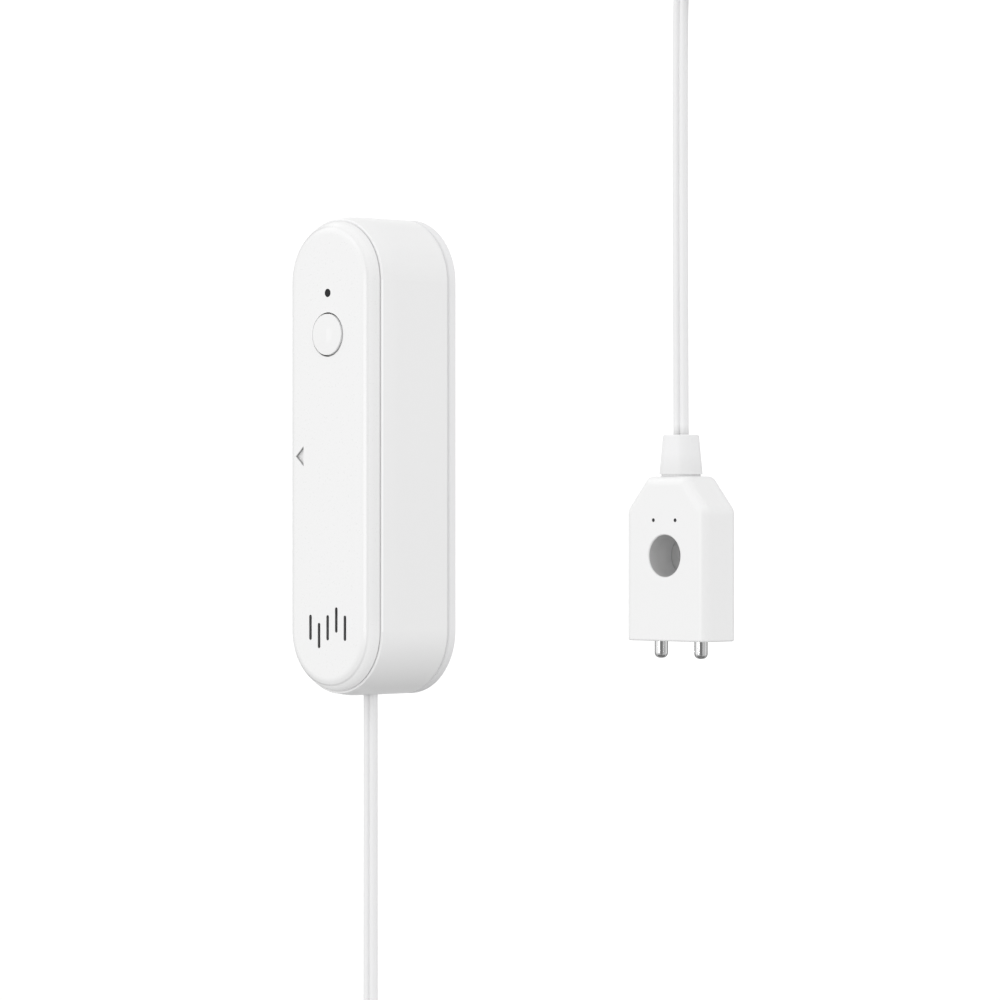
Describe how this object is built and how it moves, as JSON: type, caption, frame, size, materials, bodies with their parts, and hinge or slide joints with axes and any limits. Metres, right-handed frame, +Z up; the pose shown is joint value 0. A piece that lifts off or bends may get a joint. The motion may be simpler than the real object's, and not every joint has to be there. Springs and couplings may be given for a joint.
{
  "type": "water leak detector",
  "caption": "Slim obround wall sensor with a test button, indicator and sound slots, and a flat twin cord to a probe with two contact pins and a recessed screw hole.",
  "frame": {"origin": "on the wall, at the middle of the back of the detector's adhesive pad", "axes": "+X to the right along the wall, +Y into the wall, +Z up along the detector"},
  "size_m": [0.1717, 0.0225, 0.2596],
  "materials": {
    "pad_foam": "matt foam tape",
    "plate_white": "fine satin",
    "housing_white": "fine satin",
    "seal_grey": "matt",
    "cover_white": "fine satin",
    "mesh_black": "woven",
    "button_white": "fine satin",
    "window_smoke": "smoked gloss",
    "board_green": "solder mask",
    "screw_steel": "plated",
    "switch_black": "moulded",
    "led_clear": "clear",
    "shield_metal": "tinned",
    "buzzer_black": "moulded",
    "terminal_white": "moulded",
    "tray_white": "moulded",
    "cell_wrap": "printed film, plain",
    "contact_nickel": "nickel plated",
    "grommet_white": "matt",
    "cord_white": "satin",
    "tie_white": "satin",
    "hook_white": "fine satin",
    "boot_white": "satin",
    "probe_white": "fine satin",
    "pin_metal": "polished",
    "dot_dark": "dark"
  },
  "bodies": {
    "detector": {"adhesive_pad": "pad_foam", "back_plate": "plate_white", "housing": "housing_white", "cover_seal": "seal_grey", "circuit_board": "board_green", "board_screws": "screw_steel", "tact_switch": "switch_black", "indicator_led": "led_clear", "radio_module": "shield_metal", "buzzer": "buzzer_black", "cord_terminal": "terminal_white", "battery_tray": "tray_white", "cell_left": "cell_wrap", "cell_right": "cell_wrap", "tip_contacts": "contact_nickel", "flat_end_contacts": "contact_nickel", "cord_grommet": "grommet_white", "cord_lower": "cord_white", "cord_coil": "cord_white", "coil_tie": "tie_white", "cord_upper": "cord_white", "cord_hook_left": "hook_white", "cord_hook_right": "hook_white", "probe_boot": "boot_white", "probe_body": "probe_white", "contact_pin_left": "pin_metal", "contact_pin_right": "pin_metal", "drip_contacts": "dot_dark"},
    "cover": {"front_cover": "cover_white", "light_pipe": "window_smoke", "dust_mesh": "mesh_black"},
    "button": {"test_button": "button_white"}
  },
  "joints": [
    {"name": "cover_pull", "type": "slide", "parent": "detector", "child": "cover", "axis": [0, -1, 0], "range_m": [0, 0.03]},
    {"name": "button_press", "type": "slide", "parent": "cover", "child": "button", "axis": [0, 1, 0], "range_m": [0, 0.0006], "stiffness_N_per_m": 1500, "springref_m": -0.0002}
  ]
}
